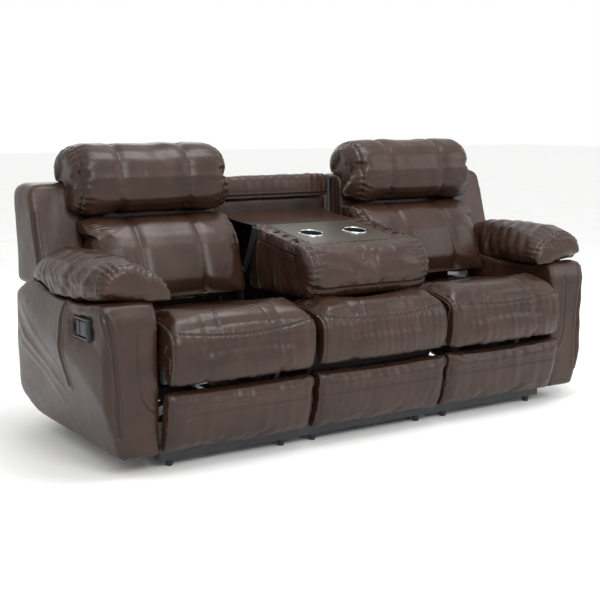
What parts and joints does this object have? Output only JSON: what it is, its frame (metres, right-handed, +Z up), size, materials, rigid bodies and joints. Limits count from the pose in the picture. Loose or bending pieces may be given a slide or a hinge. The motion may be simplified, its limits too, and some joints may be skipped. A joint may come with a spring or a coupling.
{
  "type": "sofa",
  "caption": "Leather sofa with reclining end seats, fold-out footrests on side linkages, and a centre back that folds down as a console with cup holders.",
  "frame": {"origin": "on the floor, under the centre of the bounding box", "axes": "+X to the right along the sofa, +Y from the front to the back, +Z up"},
  "size_m": [2.1568, 0.9566, 1.03],
  "materials": {
    "leather": "satin",
    "black_steel": "satin",
    "zinc_steel": "satin",
    "wood": "matte",
    "black_plastic": "satin",
    "tray_laminate": "satin",
    "silver_rim": "gloss",
    "webbing": "matte"
  },
  "bodies": {
    "base": {"front_base_rails": "black_steel", "base_chassis": "black_steel", "floor_glides": "black_plastic", "frame_bolts": "zinc_steel", "lever_bezels": "black_plastic", "center_seat_frame": "wood", "center_seat_cushion": "leather", "center_front_panel": "leather", "center_back_frame": "wood", "center_back_panel": "leather", "center_top_rail_pad": "leather", "rear_cover_panels": "leather", "console_hinge_brackets": "zinc_steel", "console_flap": "leather", "left_arm_body": "leather", "left_arm_pad": "leather", "right_arm_body": "leather", "right_arm_pad": "leather"},
    "console": {"console_tray": "tray_laminate", "console_board": "wood", "console_cups": "black_plastic", "console_cup_rings": "silver_rim", "console_cushion": "leather", "console_hinge_arms": "zinc_steel"},
    "left_lever": {"left_release_lever": "black_plastic"},
    "left_seat": {"left_seat_cross_rails": "wood", "left_seat_webbing": "webbing", "left_seat_cushion": "leather", "left_mechanism_plates": "zinc_steel"},
    "left_drive": {"left_drive_links": "black_steel"},
    "left_crank": {"left_crank_links": "zinc_steel"},
    "left_reach": {"left_reach_links": "zinc_steel"},
    "left_stay": {"left_stay_links": "zinc_steel"},
    "left_footrest": {"left_footrest_brackets": "zinc_steel", "left_footrest_board": "wood", "left_footrest_pad": "leather"},
    "left_back": {"left_back_frame": "wood", "left_back_hinge_plates": "zinc_steel", "left_back_shell": "leather", "left_back_wing": "leather", "left_lower_back_cushion": "leather", "left_headrest_cushion": "leather"},
    "right_lever": {"right_release_lever": "black_plastic"},
    "right_seat": {"right_seat_cross_rails": "wood", "right_seat_webbing": "webbing", "right_seat_cushion": "leather", "right_mechanism_plates": "zinc_steel"},
    "right_drive": {"right_drive_links": "black_steel"},
    "right_crank": {"right_crank_links": "zinc_steel"},
    "right_reach": {"right_reach_links": "zinc_steel"},
    "right_stay": {"right_stay_links": "zinc_steel"},
    "right_footrest": {"right_footrest_brackets": "zinc_steel", "right_footrest_board": "wood", "right_footrest_pad": "leather"},
    "right_back": {"right_back_frame": "wood", "right_back_hinge_plates": "zinc_steel", "right_back_shell": "leather", "right_back_wing": "leather", "right_lower_back_cushion": "leather", "right_headrest_cushion": "leather"}
  },
  "joints": [
    {"name": "left_seat_slide", "type": "slide", "parent": "base", "child": "left_seat", "axis": [0, -1, 0], "range_m": [0, 0.045]},
    {"name": "left_recline", "type": "hinge", "parent": "left_seat", "child": "left_back", "pos_m": [-0.572, 0.218, 0.36], "axis": [-1, 0, 0], "range_deg": [0, 26]},
    {"name": "left_footrest", "type": "hinge", "parent": "left_seat", "child": "left_drive", "pos_m": [-0.572, -0.257, 0.288], "axis": [-1, 0, 0], "range_deg": [0, 104]},
    {"name": "left_reach", "type": "hinge", "parent": "left_drive", "child": "left_reach", "pos_m": [-0.572, -0.164, 0.1145], "axis": [-1, 0, 0], "range_deg": [-92, 0]},
    {"name": "left_footrest_turn", "type": "hinge", "parent": "left_reach", "child": "left_footrest", "pos_m": [-0.572, -0.349, 0.179], "axis": [-1, 0, 0], "range_deg": [0, 91]},
    {"name": "left_crank", "type": "hinge", "parent": "left_seat", "child": "left_crank", "pos_m": [-0.572, -0.2975, 0.2915], "axis": [-1, 0, 0], "range_deg": [0, 103]},
    {"name": "left_stay", "type": "hinge", "parent": "left_crank", "child": "left_stay", "pos_m": [-0.572, -0.2025, 0.1535], "axis": [-1, 0, 0], "range_deg": [-91, 0]},
    {"name": "left_release", "type": "hinge", "parent": "base", "child": "left_lever", "pos_m": [-1.054, -0.298, 0.472], "axis": [0, 0, 1], "range_deg": [0, 30], "stiffness_Nm_per_rad": 0.8},
    {"name": "right_seat_slide", "type": "slide", "parent": "base", "child": "right_seat", "axis": [0, -1, 0], "range_m": [0, 0.045]},
    {"name": "right_recline", "type": "hinge", "parent": "right_seat", "child": "right_back", "pos_m": [0.572, 0.218, 0.36], "axis": [-1, 0, 0], "range_deg": [0, 26]},
    {"name": "right_footrest", "type": "hinge", "parent": "right_seat", "child": "right_drive", "pos_m": [0.572, -0.257, 0.288], "axis": [-1, 0, 0], "range_deg": [0, 104]},
    {"name": "right_reach", "type": "hinge", "parent": "right_drive", "child": "right_reach", "pos_m": [0.572, -0.164, 0.1145], "axis": [-1, 0, 0], "range_deg": [-92, 0]},
    {"name": "right_footrest_turn", "type": "hinge", "parent": "right_reach", "child": "right_footrest", "pos_m": [0.572, -0.349, 0.179], "axis": [-1, 0, 0], "range_deg": [0, 91]},
    {"name": "right_crank", "type": "hinge", "parent": "right_seat", "child": "right_crank", "pos_m": [0.572, -0.2975, 0.2915], "axis": [-1, 0, 0], "range_deg": [0, 103]},
    {"name": "right_stay", "type": "hinge", "parent": "right_crank", "child": "right_stay", "pos_m": [0.572, -0.2025, 0.1535], "axis": [-1, 0, 0], "range_deg": [-91, 0]},
    {"name": "right_release", "type": "hinge", "parent": "base", "child": "right_lever", "pos_m": [1.054, -0.298, 0.472], "axis": [0, 0, -1], "range_deg": [0, 30], "stiffness_Nm_per_rad": 0.8},
    {"name": "console_fold", "type": "hinge", "parent": "base", "child": "console", "pos_m": [0, 0.1, 0.56], "axis": [-1, 0, 0], "range_deg": [0, 100], "deforming": ["console_flap"]}
  ],
  "couplings": [
    {"joint": "left_seat_slide", "follows": "left_recline", "m_per_rad": 0.0991},
    {"joint": "left_reach", "follows": "left_footrest", "ratio": -0.8823},
    {"joint": "left_footrest_turn", "follows": "left_footrest", "ratio": 0.86644},
    {"joint": "left_crank", "follows": "left_footrest", "ratio": 0.98414},
    {"joint": "left_stay", "follows": "left_footrest", "ratio": -0.86644},
    {"joint": "right_seat_slide", "follows": "right_recline", "m_per_rad": 0.0991},
    {"joint": "right_reach", "follows": "right_footrest", "ratio": -0.8823},
    {"joint": "right_footrest_turn", "follows": "right_footrest", "ratio": 0.86644},
    {"joint": "right_crank", "follows": "right_footrest", "ratio": 0.98414},
    {"joint": "right_stay", "follows": "right_footrest", "ratio": -0.86644}
  ]
}
